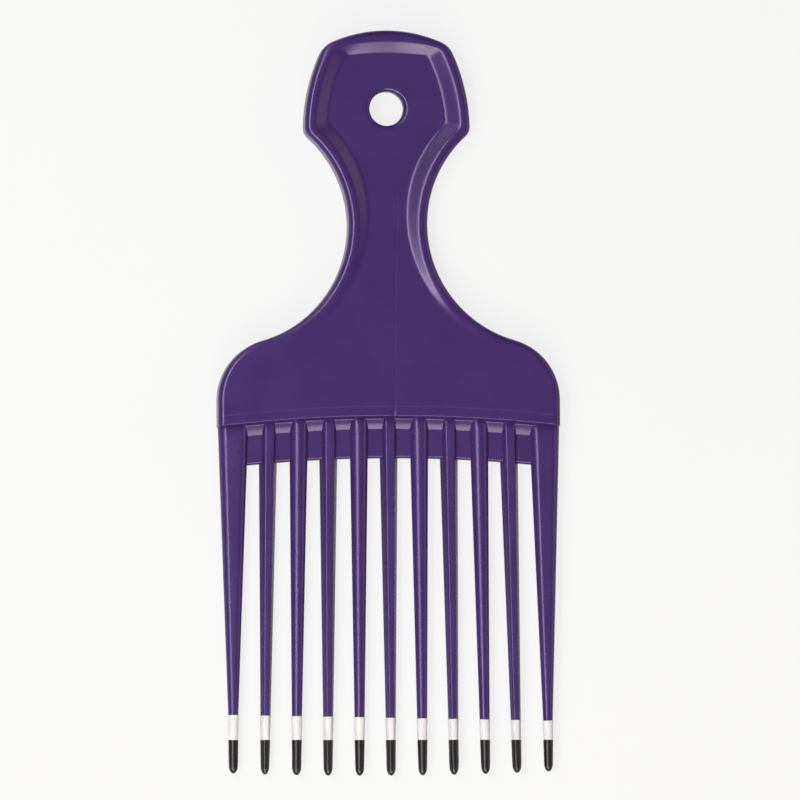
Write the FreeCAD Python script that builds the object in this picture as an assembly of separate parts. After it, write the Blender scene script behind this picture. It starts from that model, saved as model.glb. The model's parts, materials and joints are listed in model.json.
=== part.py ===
import FreeCAD, Part
import math
import os
from collections import namedtuple

from FreeCAD import Vector

# Afro pick, in millimetres: a moulded handle with eleven tines, and two dip coats on each tine's tip.
# X runs across the tines, Y along the pick with the handle at +Y, and Z through its thickness.
# The pick lies on its back on Z = 0, and the origin is the middle of its footprint.

# Head of the handle
head_width = 36.8
crown_radius = 30.0
crown_corner_radius = 5.0
head_side_radius = 42.0
ear_drop = 22.3
ear_radius = 3.0

# Neck and shoulder: one hollow arc from the ear, then one round arc to the straight side
neck_width = 17.5
neck_drop = 43.2
neck_radius = 26.6
shoulder_width = 76.0
shoulder_radius = 13.7
shoulder_side = 5.64

# Thickness
thickness = 7.0
edge_radius = 1.5

# Sunken panel on both faces, inside a raised rim, that runs out on the shoulder
rim_width = 1.7
panel_depth = 1.5
wall_run = 3.9
top_wall_run = 4.1
panel_top_bow = 0.4
panel_floor_end_angle = 5.0
panel_rim_end_angle = 58.0

# Hanging hole
hole_radius = 3.8
hole_drop = 17.3
hole_edge_radius = 1.0

# Ledge under the shoulder, and the bar that ties the tine roots together
ledge_rise = 2.2
ledge_band = 1.9
band_step = 0.25
lip_radius = 0.5
lip_run = 0.5
lip_fall = 1.5
ledge_slope_run = 2.4
bar_thickness = 2.0
bar_drop = 9.4
bar_edge_radius = 0.7
root_clearance = 0.4

# Tines
tine_count = 11
tine_reach = 79.6
root_width = 4.25
outer_root_width = 6.8
root_depth = 5.2
root_corner_radius = 1.9
root_ridge_inset = 0.9
root_ridge_radius = 0.6
point_length = 13.0
point_width = 2.28
point_depth = 2.4
point_corner_radius = 1.05
point_ridge_inset = 0.4
point_ridge_radius = 0.5
tip_width = 1.58
tip_depth = 1.6
tip_corner_radius = 0.72
tip_ridge_inset = 0.2
tip_ridge_radius = 0.5
tip_round = 1.5
tip_inset = 3.0
tip_rise = 0.7

# Dip coats: white first, then black over its lower part
white_coat = 0.06
black_coat = 0.07
white_dip_height = 12.8
white_dip_tilt = 1.35
black_dip_height = 7.9
black_dip_tilt = 0.3

# How the panel's wall falls from just above the rim to the floor: (share of its run, share of its depth)
wall_profile = [(-0.1, -0.06), (0.2, 0.12), (0.8, 0.88), (1.0, 1.0)]

# How a tine's tip rounds off towards its end: (share of the rounded length, share of the section's size)
tip_profile = [(1.0, 1.0), (0.55, 0.93), (0.2, 0.7), (0.0, 0.38)]

# Levels along Y, from the top of the head down to the tips
half_width = shoulder_width / 2
neck_centre_x = neck_width / 2 + neck_radius
shoulder_centre_x = half_width - shoulder_radius
centre_drop = math.sqrt((neck_radius + shoulder_radius) ** 2 - (neck_centre_x - shoulder_centre_x) ** 2)
lip_drop = neck_drop + centre_drop + shoulder_side - ledge_rise
overall_length = lip_drop + tine_reach
top_y = overall_length / 2
lip_y = top_y - lip_drop
tip_y = -overall_length / 2
neck_centre = Vector(neck_centre_x, top_y - neck_drop, 0)
shoulder_centre = Vector(shoulder_centre_x, neck_centre.y - centre_drop, 0)
middle_z = thickness / 2

# The ledge's arch, as a circle about an axis along Z
arch_radius = (half_width ** 2 + ledge_rise ** 2) / (2 * ledge_rise)
arch_centre_y = lip_y - arch_radius
bar_top_radius = arch_radius - lip_run - ledge_slope_run
bar_bottom_radius = arch_radius - bar_drop

# Equal gaps between the tine roots, with the outer tines flush with the shoulder's sides and tips set in
tine_gap = (shoulder_width - 2 * outer_root_width - (tine_count - 2) * root_width) / (tine_count - 1)
outer_root_x = half_width - outer_root_width / 2
outer_tip_x = half_width - tip_inset

# How far cutting solids run past the faces that they cut, and how near counts as the same place
cut_margin = 1.0
near = 0.01

Tine = namedtuple("Tine", "root_x tip_x root_width end_y ridge_side")
Section = namedtuple("Section", "width depth corner_radius ridge_inset ridge_radius")


def circles_meet(centre_a, radius_a, centre_b, radius_b, side):
    """The crossing of two circles on the left (side 1) or right (side -1) of the way from a to b."""
    span = centre_b - centre_a
    along = (span.Length ** 2 + radius_a ** 2 - radius_b ** 2) / (2 * span.Length)
    across = math.sqrt(radius_a ** 2 - along ** 2)
    direction = span / span.Length
    left = Vector(-direction.y, direction.x, 0)
    return centre_a + direction * along + left * (side * across)


def arch_y(radius, x):
    """The level of a circle about the ledge's axis at a place across the pick."""
    return arch_centre_y + math.sqrt(radius ** 2 - x ** 2)


def root_level():
    """The level where the tines leave the handle, just under the ends of the bar."""
    return arch_y(bar_bottom_radius, outer_root_x) - root_clearance


def on_circle(centre, radius, toward):
    """The point of a circle that lies in the direction of another point."""
    return centre + (toward - centre).normalize() * radius


def mirrored(point):
    """The same point on the other side of the pick's middle plane."""
    return Vector(-point.x, point.y, point.z)


def arc(start, middle, end):
    """An arc edge through three points."""
    return Part.Arc(start, middle, end).toShape()


def line(start, end):
    """A straight edge."""
    return Part.makeLine(start, end)


def both_sides(spans):
    """Edges for the right half's spans and their mirror images on the left."""
    edges = []
    for points in spans:
        make = arc if len(points) == 3 else line
        edges.append(make(*points))
        edges.append(make(*[mirrored(point) for point in points]))
    return edges


def face_of(edges):
    """The flat face inside a closed ring of edges."""
    return Part.Face(Part.Wire(Part.__sortEdges__(edges)))


def head_side_centre():
    """Centre of the arc that bulges the right side of the head."""
    return Vector(head_width / 2 - head_side_radius, top_y - ear_drop, 0)


def vertical_edges_at(shape, points):
    """The edges along Z that stand on the given plan points."""
    tall = [edge for edge in shape.Edges if edge.BoundBox.ZLength > thickness / 2]
    return [edge for edge in tall for point in points
            if Vector(edge.CenterOfMass.x, edge.CenterOfMass.y, 0).isEqual(point, near)]


def rim_edges(shape):
    """The front and back outline edges, without the two that run across under the shoulder."""
    flat = [edge for edge in shape.Edges if edge.BoundBox.ZLength < near]
    return [edge for edge in flat if edge.BoundBox.XLength < half_width]


def handle_plate():
    """The handle's outline at full thickness, with rounded corners and edges."""
    crown_centre = Vector(0, top_y - crown_radius, 0)
    side_centre = head_side_centre()
    crown_top = Vector(0, top_y, 0)
    corner = circles_meet(crown_centre, crown_radius, side_centre, head_side_radius, -1)
    ear = circles_meet(side_centre, head_side_radius, neck_centre, neck_radius, 1)
    side_middle = on_circle(side_centre, head_side_radius, (corner + ear) / 2)
    neck_middle = Vector(neck_width / 2, neck_centre.y, 0)
    join = on_circle(neck_centre, neck_radius, shoulder_centre)
    side_top = Vector(half_width, shoulder_centre.y, 0)
    shoulder_middle = on_circle(shoulder_centre, shoulder_radius, (join + side_top) / 2)
    side_bottom = Vector(half_width, arch_y(bar_top_radius, half_width), 0)
    arch_top = Vector(0, arch_y(bar_top_radius, 0), 0)

    edges = both_sides([
        (corner, side_middle, ear),
        (ear, neck_middle, join),
        (join, shoulder_middle, side_top),
        (side_top, side_bottom),
    ])
    edges.append(arc(mirrored(corner), crown_top, corner))
    edges.append(arc(mirrored(side_bottom), arch_top, side_bottom))
    plate = face_of(edges).extrude(Vector(0, 0, thickness))
    plate = plate.makeFillet(crown_corner_radius, vertical_edges_at(plate, [corner, mirrored(corner)]))
    plate = plate.makeFillet(ear_radius, vertical_edges_at(plate, [ear, mirrored(ear)]))
    return plate.makeFillet(edge_radius, rim_edges(plate))


def panel_outline(run, z):
    """The sunken panel's outline part-way down its wall: run is 0 at the rim and 1 at the floor."""
    inset = rim_width + run * wall_run
    crown_y = top_y - rim_width - run * top_wall_run
    rim_bow = (head_width / 2) ** 2 / (2 * crown_radius)
    bow = rim_bow + run * (panel_top_bow - rim_bow)
    crown_bend = ((head_width / 2) ** 2 + bow ** 2) / (2 * bow)
    end_angle = math.radians(panel_rim_end_angle + run * (panel_floor_end_angle - panel_rim_end_angle))

    crown_centre = Vector(0, crown_y - crown_bend, 0)
    side_centre = head_side_centre()
    side_bend = head_side_radius - inset
    neck_bend = neck_radius + inset
    corner = circles_meet(crown_centre, crown_bend, side_centre, side_bend, -1)
    ear = circles_meet(side_centre, side_bend, neck_centre, neck_bend, 1)
    side_middle = on_circle(side_centre, side_bend, (corner + ear) / 2)
    end = neck_centre - Vector(math.cos(end_angle), math.sin(end_angle), 0) * neck_bend
    neck_middle = on_circle(neck_centre, neck_bend, (ear + end) / 2)

    ring = [
        arc(mirrored(corner), Vector(0, crown_y, 0), corner),
        arc(corner, side_middle, ear),
        arc(ear, neck_middle, end),
        line(end, mirrored(end)),
        arc(mirrored(end), mirrored(neck_middle), mirrored(ear)),
        arc(mirrored(ear), mirrored(side_middle), mirrored(corner)),
    ]
    wire = Part.Wire(ring)
    wire.translate(Vector(0, 0, z))
    return wire


def panel_cutter():
    """What the front panel takes away: walls that roll over the rim and flatten into the floor."""
    wires = [panel_outline(run, thickness - depth * panel_depth) for run, depth in wall_profile]
    return Part.makeLoft(wires, True, True)


def ledge_cutter():
    """What the front ledge takes away: a shallow band, a rounded lip, its steep foot and a slope to the bar."""
    bar_z = middle_z + bar_thickness / 2
    top_z = thickness + cut_margin
    lip = Vector(0, arch_centre_y + arch_radius, thickness - band_step)
    lip_foot = lip - Vector(0, lip_run, lip_fall)
    slope_end = Vector(0, arch_centre_y + bar_top_radius, bar_z)
    trim = lip_radius * math.tan(math.atan2(lip_fall, lip_run) / 2)
    lip_start = lip + Vector(0, trim, 0)
    lip_end = lip + (lip_foot - lip).normalize() * trim
    lip_middle = on_circle(lip_start - Vector(0, 0, lip_radius), lip_radius, lip)
    crease = lip + Vector(0, ledge_band, 0)
    below = slope_end - Vector(0, cut_margin, 0)
    above_lip = [below, Vector(0, below.y, top_z), Vector(0, crease.y, top_z), crease, lip_start]
    under_lip = [lip_end, lip_foot, slope_end, below]

    edges = [arc(lip_start, lip_middle, lip_end)]
    for corners in (above_lip, under_lip):
        edges += [line(start, end) for start, end in zip(corners, corners[1:])]
    return along_arch(face_of(edges), half_width + cut_margin)


def along_arch(face, reach):
    """A section in the middle plane swept along the ledge's arch, out to the given X on both sides."""
    centre = Vector(0, arch_centre_y, 0)
    axis = Vector(0, 0, 1)
    angle = math.degrees(math.asin(reach / bar_bottom_radius))
    start = face.copy()
    start.rotate(centre, axis, -angle)
    return start.revolve(centre, axis, 2 * angle)


def root_bar():
    """The thin bar between the tine roots, with a rounded lower edge."""
    low_z = middle_z - bar_thickness / 2
    high_z = middle_z + bar_thickness / 2
    top = arch_centre_y + bar_top_radius + cut_margin
    bottom = arch_centre_y + bar_bottom_radius
    round_start = bottom + bar_edge_radius
    easing = bar_edge_radius * (1 - math.sqrt(0.5))
    front = [Vector(0, round_start, high_z), Vector(0, bottom + easing, high_z - easing),
             Vector(0, bottom, high_z - bar_edge_radius)]
    back = [Vector(0, bottom, low_z + bar_edge_radius), Vector(0, bottom + easing, low_z + easing),
            Vector(0, round_start, low_z)]
    edges = [
        line(Vector(0, top, low_z), Vector(0, top, high_z)),
        line(Vector(0, top, high_z), front[0]),
        arc(*front),
        line(front[2], back[0]),
        arc(*back),
        line(back[2], Vector(0, top, low_z)),
    ]
    return along_arch(face_of(edges), outer_root_x)


def front_and_back(cutter):
    """A front cutter and its mirror image on the back."""
    return [cutter, cutter.mirror(Vector(0, 0, middle_z), Vector(0, 0, 1))]


def hole_edges(shape, centre):
    """The two circles where the hanging hole meets the panel floors."""
    found = []
    for edge in shape.Edges:
        if isinstance(edge.Curve, Part.Circle) and abs(edge.Curve.Radius - hole_radius) < near:
            if abs(edge.Curve.Center.y - centre.y) < near:
                found.append(edge)
    return found


def pierced(shape):
    """The handle with its hanging hole, rounded where it meets the panel on both faces."""
    centre = Vector(0, top_y - hole_drop, 0)
    shape = shape.cut(Part.makeCylinder(hole_radius, thickness, centre))
    return shape.makeFillet(hole_edge_radius, hole_edges(shape, centre))


def handle():
    """Handle, shoulder, ledge and root bar, with the tine roots down to where the tines leave it."""
    shape = handle_plate()
    shape = shape.cut(front_and_back(panel_cutter()) + front_and_back(ledge_cutter()))
    shape = pierced(shape)
    return shape.fuse([root_bar()] + [tine_root(tine) for tine in tines()]).removeSplitter()


def tine_root(tine):
    """The moulded-on start of a tine, from the ledge's lip down past the bar."""
    wires = [tine_section(tine, arch_y(arch_radius, tine.root_x)), tine_section(tine, root_level())]
    return Part.makeLoft(wires, True, True)


def tines():
    """The tines from left to right: equal gaps at the root and equal pitch at the tips."""
    found = []
    left_x = -half_width
    for index in range(tine_count):
        outer = index in (0, tine_count - 1)
        width = outer_root_width if outer else root_width
        share = 2 * index / (tine_count - 1) - 1
        ridge_side = 1 if index % 2 else -1
        end_y = tip_y + white_coat + black_coat + tip_rise * share ** 2
        found.append(Tine(left_x + width / 2, share * outer_tip_x, width, end_y, ridge_side))
        left_x += width + tine_gap
    return found


def blend(first, second, share):
    """A section between two others."""
    return Section(*[a + (b - a) * share for a, b in zip(first, second)])


def section_at(tine, y):
    """Size of a tine's section at a level: a long shaft taper, then a shorter one to the tip."""
    root = Section(tine.root_width, root_depth, root_corner_radius, root_ridge_inset, root_ridge_radius)
    point = Section(point_width, point_depth, point_corner_radius, point_ridge_inset, point_ridge_radius)
    tip = Section(tip_width, tip_depth, tip_corner_radius, tip_ridge_inset, tip_ridge_radius)
    point_y = tine.end_y + point_length
    if y >= point_y:
        return blend(root, point, (lip_y - y) / (lip_y - point_y))
    return blend(point, tip, (point_y - y) / point_length)


def tine_section(tine, y, coat=0.0, shrink=1.0, drop=0.0):
    """Closed wire across a tine: a broad face with two round corners, and a narrower ridge opposite.

    coat grows the section all round, shrink draws it in towards its middle for the rounded end,
    and drop lowers the wire below the level that its size belongs to.
    """
    size = section_at(tine, y)
    corner = size.corner_radius * shrink
    ridge = size.ridge_radius * shrink
    corner_x = size.width / 2 * shrink - corner
    corner_z = corner - size.depth / 2 * shrink
    ridge_x = (size.width / 2 - size.ridge_inset) * shrink - ridge
    ridge_z = size.depth / 2 * shrink - ridge
    circles = [
        (Vector(-corner_x, corner_z, 0), corner + coat),
        (Vector(corner_x, corner_z, 0), corner + coat),
        (Vector(ridge_x, ridge_z, 0), ridge + coat),
        (Vector(-ridge_x, ridge_z, 0), ridge + coat),
    ]
    count = len(circles)
    axis_share = (lip_y - y) / (lip_y - tine.end_y)
    axis_x = tine.root_x + (tine.tip_x - tine.root_x) * axis_share

    def placed(point):
        return Vector(axis_x + point.x, y - drop, middle_z + tine.ridge_side * point.y)

    normals = [tangent_normal(*circles[index], *circles[(index + 1) % count]) for index in range(count)]
    edges = []
    for index in range(count):
        centre, radius = circles[index]
        next_centre, next_radius = circles[(index + 1) % count]
        before = normals[index - 1]
        after = normals[index]
        middle = (before + after).normalize()
        edges.append(arc(placed(centre + before * radius), placed(centre + middle * radius),
                         placed(centre + after * radius)))
        edges.append(line(placed(centre + after * radius), placed(next_centre + after * next_radius)))
    return Part.Wire(edges)


def tangent_normal(centre_a, radius_a, centre_b, radius_b):
    """Outward normal of the straight line that touches two circles on the right of the way a to b."""
    span = centre_b - centre_a
    direction = span / span.Length
    right = Vector(direction.y, -direction.x, 0)
    lean = (radius_a - radius_b) / span.Length
    return direction * lean + right * math.sqrt(1 - lean ** 2)


def tine_solid(tine, start_y, coat=0.0):
    """A tine from a level down to its rounded tip, grown all round by the thickness of a coat."""
    levels = [start_y]
    if start_y > tine.end_y + point_length:
        levels.append(tine.end_y + point_length)
    wires = [tine_section(tine, y, coat) for y in levels]
    for height, shrink in tip_profile:
        wires.append(tine_section(tine, tine.end_y + height * tip_round, coat, shrink, coat))
    return Part.makeLoft(wires, True, True)


def dipped_tine(tine):
    """A tine, its white coat and its black coat, each a closed solid that seats on the one inside."""
    white_y = tip_y + white_dip_height - tine.tip_x * math.tan(math.radians(white_dip_tilt))
    black_y = tip_y + black_dip_height - tine.tip_x * math.tan(math.radians(black_dip_tilt))
    core = tine_solid(tine, root_level())
    white_body = tine_solid(tine, white_y, white_coat)
    black_body = tine_solid(tine, black_y, white_coat + black_coat)
    return core, white_body.cut(core), black_body.cut(white_body)


def main():
    """Write one file per piece."""
    os.makedirs("parts", exist_ok=True)
    pieces = {"handle": handle()}
    for number, tine in enumerate(tines(), start=1):
        core, white, black = dipped_tine(tine)
        pieces[f"tine_{number:02d}"] = core
        pieces[f"white_dip_{number:02d}"] = white
        pieces[f"black_dip_{number:02d}"] = black
    for name, shape in pieces.items():
        shape.exportStep(f"parts/{name}.step")
        print(f"{name}: {len(shape.Solids)} solid, {shape.Volume:.2f} mm3, valid {shape.isValid()}")


main()
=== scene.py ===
"""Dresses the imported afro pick: a purple moulding whose eleven tine tips are dipped in white, then in black.

Sizes are in millimetres in the pick's own frame: X across the tines, Y along the pick with the handle at +Y,
and Z through its thickness. The meshes that Blender gets are in metres.
"""

from __future__ import annotations

import json
import logging
import math
import random
from collections.abc import Callable, Iterable, Sequence
from dataclasses import astuple, dataclass, field, replace
from enum import Enum
from itertools import pairwise
from typing import Any

import bmesh
import bpy
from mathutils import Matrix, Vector

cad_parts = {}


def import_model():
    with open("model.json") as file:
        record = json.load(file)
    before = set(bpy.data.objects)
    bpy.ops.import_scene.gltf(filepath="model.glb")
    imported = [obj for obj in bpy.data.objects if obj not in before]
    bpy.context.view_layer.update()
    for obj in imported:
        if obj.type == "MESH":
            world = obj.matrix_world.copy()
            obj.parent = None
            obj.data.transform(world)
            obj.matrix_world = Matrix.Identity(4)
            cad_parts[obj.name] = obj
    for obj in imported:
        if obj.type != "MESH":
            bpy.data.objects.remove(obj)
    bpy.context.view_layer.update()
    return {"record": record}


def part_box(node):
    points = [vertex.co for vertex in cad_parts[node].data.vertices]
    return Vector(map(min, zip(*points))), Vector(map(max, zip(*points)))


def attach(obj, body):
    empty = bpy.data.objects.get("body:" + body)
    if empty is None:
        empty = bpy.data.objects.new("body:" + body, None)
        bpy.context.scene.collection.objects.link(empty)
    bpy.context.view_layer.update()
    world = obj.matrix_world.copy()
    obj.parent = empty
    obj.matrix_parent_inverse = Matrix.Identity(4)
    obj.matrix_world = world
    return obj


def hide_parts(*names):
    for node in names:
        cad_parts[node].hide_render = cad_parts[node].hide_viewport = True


MM = 0.001
NEAR = 0.02
BODY = "root"
ACROSS = Vector((1, 0, 0))
ALONG = Vector((0, 1, 0))
UP = Vector((0, 0, 1))

Colour = tuple[float, float, float]
WHITE: Colour = (1.0, 1.0, 1.0)
WARM: Colour = (1.0, 0.8, 0.64)
SOFT: Colour = (1.0, 0.94, 0.86)

log = logging.getLogger("afro_pick")


class Slot(Enum):
    """The record's material slots."""

    PURPLE = "purple_moulding"
    WHITE = "white_coating"
    BLACK = "black_coating"


class Ridge(Enum):
    """The face of the pick on which a tine carries its ridge."""

    FRONT = 1
    BACK = -1


def flat(x: float, y: float) -> Vector:
    """A point of the pick's middle plane."""
    return Vector((x, y, 0))


def blend(first: float, second: float, share: float) -> float:
    """A number part-way between two others."""
    return first + (second - first) * share


def eased(share: float, ease: float) -> float:
    """Rise from 0 to 1 on a straight slope with rounded ends.

    Args:
        share: How far along the rise, which stays level before 0 and after 1.
        ease: Share of the rise that each rounding takes.

    Returns:
        The height.
    """
    share = min(1.0, max(0.0, share))
    slope = 1 / (1 - ease)
    if share < ease:
        return slope * share**2 / (2 * ease)
    if share > 1 - ease:
        return 1 - slope * (1 - share) ** 2 / (2 * ease)
    return slope * (share - ease / 2)


def circles_meet(
    first: Vector,
    first_radius: float,
    second: Vector,
    second_radius: float,
    side: int,
) -> Vector:
    """Find where two circles of the middle plane cross.

    Args:
        first: Centre of the first circle.
        first_radius: Its radius.
        second: Centre of the second circle.
        second_radius: Its radius.
        side: 1 for the crossing on the left of the way from first to second, -1 for the right.

    Returns:
        The crossing.
    """
    span = second - first
    along = (span.length_squared + first_radius**2 - second_radius**2) / (2 * span.length)
    across = math.sqrt(first_radius**2 - along**2)
    way = span.normalized()
    return first + way * along + UP.cross(way) * (side * across)


def on_circle(centre: Vector, radius: float, toward: Vector) -> Vector:
    """The point of a circle that lies in the direction of another point."""
    return centre + (toward - centre).normalized() * radius


@dataclass(frozen=True)
class Line:
    """A straight stroke of a chain of edges."""

    end: Vector
    steps: int = 1

    def draw(self, start: Vector, axis: Vector) -> None:
        """Extrude the chain's last vertex to the end of the stroke.

        Args:
            start: Where the chain has come to.
            axis: Normal of the chain's plane, which a straight stroke has no use for.
        """
        step = (self.end - start) / self.steps * MM
        for _ in range(self.steps):
            bpy.ops.mesh.extrude_region_move(TRANSFORM_OT_translate={"value": step})


@dataclass(frozen=True)
class Arc:
    """A round stroke of a chain of edges."""

    centre: Vector
    end: Vector
    steps: int

    def draw(self, start: Vector, axis: Vector) -> None:
        """Spin the chain's last vertex to the end of the stroke.

        Args:
            start: Where the chain has come to.
            axis: Normal of the chain's plane.
        """
        first = start - self.centre
        last = self.end - self.centre
        angle = math.atan2(axis.dot(first.cross(last)), first.dot(last))
        bpy.ops.mesh.spin(steps=self.steps, angle=-angle, center=self.centre * MM, axis=axis)


@dataclass(frozen=True)
class Chain:
    """A chain of edges in one plane, as a start and the strokes that follow it."""

    start: Vector
    strokes: Sequence[Line | Arc]
    axis: Vector = UP
    closed: bool = False


class Workpiece:
    """A mesh that is being modelled in edit mode, one or two operators at a time."""

    def __init__(self, name: str) -> None:
        """Add the piece at the origin, with nothing in its mesh yet.

        Args:
            name: Name of the piece and its mesh.
        """
        bpy.ops.object.select_all(action="DESELECT")
        bpy.ops.mesh.primitive_plane_add(size=MM)
        self.piece: bpy.types.Object = bpy.context.object
        self.piece.name = name
        self.piece.data.name = name
        bpy.ops.object.mode_set(mode="EDIT")
        bpy.ops.mesh.delete(type="VERT")

    def mesh(self) -> bmesh.types.BMesh:
        """The edited mesh, with its vertices numbered."""
        mesh = bmesh.from_edit_mesh(self.piece.data)
        mesh.verts.index_update()
        mesh.verts.ensure_lookup_table()
        return mesh

    def draw(self, chain: Chain) -> range:
        """Draw a chain of edges.

        Args:
            chain: The chain, in millimetres.

        Returns:
            The numbers of its vertices.
        """
        first = len(self.mesh().verts)
        bpy.ops.mesh.select_mode(type="VERT")
        bpy.ops.mesh.select_all(action="DESELECT")
        bpy.ops.mesh.primitive_plane_add(size=MM, location=chain.start * MM)
        bpy.ops.mesh.merge(type="CENTER")
        place = chain.start
        for stroke in chain.strokes:
            stroke.draw(place, chain.axis)
            place = stroke.end
        numbers = range(first, len(self.mesh().verts))
        if chain.closed:
            ends = {first, *(vert.index for vert in self.mesh().verts if vert.select)}
            self.pick_verts(lambda vert: vert.index in ends)
            bpy.ops.mesh.edge_face_add()
        return numbers

    def pick_verts(self, wanted: Callable[[bmesh.types.BMVert], bool]) -> None:
        """Select the vertices that pass a test, and nothing else."""
        bpy.ops.mesh.select_mode(type="VERT")
        self._pick(self.mesh().verts, wanted)

    def pick_edges(self, wanted: Callable[[bmesh.types.BMEdge], bool]) -> None:
        """Select the edges that pass a test, and nothing else."""
        bpy.ops.mesh.select_mode(type="EDGE")
        self._pick(self.mesh().edges, wanted)

    def pick_faces(self, wanted: Callable[[bmesh.types.BMFace], bool]) -> None:
        """Select the faces that pass a test, and nothing else."""
        bpy.ops.mesh.select_mode(type="FACE")
        self._pick(self.mesh().faces, wanted)

    def _pick(self, elements: Iterable[Any], wanted: Callable[[Any], bool]) -> None:
        """Select the given kind of elements by a test."""
        bpy.ops.mesh.select_all(action="DESELECT")
        for element in elements:
            if wanted(element):
                element.select_set(True)
        bmesh.update_edit_mesh(self.piece.data)

    def bridge(self, first: range, second: range, cuts: int = 0) -> None:
        """Join two chains with as many vertices by a strip of faces.

        Args:
            first: Vertex numbers of one chain.
            second: Vertex numbers of the other.
            cuts: How many rows of vertices the strip gets between them.
        """

        def in_either(edge: bmesh.types.BMEdge) -> bool:
            return any(all(vert.index in chain for vert in edge.verts) for chain in (first, second))

        self.pick_edges(in_either)
        bpy.ops.mesh.bridge_edge_loops(number_cuts=cuts, interpolation="LINEAR")

    def loft(self, chains: Iterable[Chain]) -> list[range]:
        """Draw chains and bridge each to the next.

        Args:
            chains: The chains, in order.

        Returns:
            The vertex numbers of each chain.
        """
        drawn = [self.draw(chain) for chain in chains]
        for first, second in pairwise(drawn):
            self.bridge(first, second)
        return drawn

    def move(self, by: Vector) -> None:
        """Move what is selected."""
        bpy.ops.transform.translate(value=by * MM)

    def resize(self, factors: Sequence[float]) -> None:
        """Scale what is selected about the origin."""
        bpy.ops.transform.resize(value=factors, center_override=(0, 0, 0))

    def bevel(self, width: float, segments: int) -> None:
        """Round off the selected edges."""
        bpy.ops.mesh.bevel(offset=width * MM, segments=segments, profile=0.5, clamp_overlap=False)

    def modify(self, kind: str, **settings: Any) -> None:
        """Add a modifier and apply it.

        Args:
            kind: The modifier's type.
            **settings: Its settings.
        """
        bpy.ops.object.mode_set(mode="OBJECT")
        bpy.ops.object.modifier_add(type=kind)
        modifier = self.piece.modifiers[-1]
        for name, value in settings.items():
            setattr(modifier, name, value)
        bpy.ops.object.modifier_apply(modifier=modifier.name)
        bpy.ops.object.mode_set(mode="EDIT")

    def press(self, axis: str, distance: float, share: Callable[[bpy.types.MeshVertex], float]) -> None:
        """Push the vertices along an axis, each by its own share of a distance.

        Args:
            axis: X, Y or Z.
            distance: How far a whole share goes, in millimetres.
            share: Gives a vertex's share.
        """
        bpy.ops.object.mode_set(mode="OBJECT")
        group = self.piece.vertex_groups.new(name="press")
        for vertex in self.piece.data.vertices:
            group.add([vertex.index], share(vertex), "REPLACE")
        strength = distance * MM
        self.modify("DISPLACE", direction=axis, mid_level=0, strength=strength, vertex_group=group.name)
        self.piece.vertex_groups.clear()

    def finish(self, lift: float, smooth_angle: float) -> bpy.types.Object:
        """Set the finished mesh at its height and shade it.

        Args:
            lift: Height of the pick's middle plane.
            smooth_angle: Edges that turn by more degrees than this stay crisp.

        Returns:
            The finished piece.
        """
        bpy.ops.mesh.select_all(action="SELECT")
        bpy.ops.mesh.normals_make_consistent(inside=False)
        self.move(UP * lift)
        bpy.ops.object.mode_set(mode="OBJECT")
        bpy.ops.object.shade_smooth_by_angle(angle=math.radians(smooth_angle))
        self.modify("WEIGHTED_NORMAL", keep_sharp=True)
        bpy.ops.object.mode_set(mode="OBJECT")
        return self.piece


class Signal:
    """A shader socket that Python's operators turn into Math nodes."""

    def __init__(self, board: Board, socket: bpy.types.NodeSocket) -> None:
        """Wrap an output socket of a board's node."""
        self.board = board
        self.socket = socket

    def __add__(self, other: Signal | float) -> Signal:
        """This plus another."""
        return self.board.math("ADD", self, other)

    __radd__ = __add__

    def __sub__(self, other: Signal | float) -> Signal:
        """This less another."""
        return self.board.math("SUBTRACT", self, other)

    def __rsub__(self, other: Signal | float) -> Signal:
        """Another less this."""
        return self.board.math("SUBTRACT", other, self)

    def __mul__(self, other: Signal | float) -> Signal:
        """This times another."""
        return self.board.math("MULTIPLY", self, other)

    __rmul__ = __mul__

    def __abs__(self) -> Signal:
        """This without its sign."""
        return self.board.math("ABSOLUTE", self)

    def ramp(self, low: float, high: float, bottom: float = 0.0, top: float = 1.0) -> Signal:
        """Ease from one value to another while this goes from low to high.

        Args:
            low: Where the rise starts.
            high: Where it ends.
            bottom: The value up to low.
            top: The value from high on.

        Returns:
            The eased signal.
        """
        inputs = {"Value": self, "From Min": low, "From Max": high, "To Min": bottom, "To Max": top}
        return self.board.signal("ShaderNodeMapRange", "Result", {"interpolation_type": "SMOOTHSTEP"}, inputs)


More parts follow.
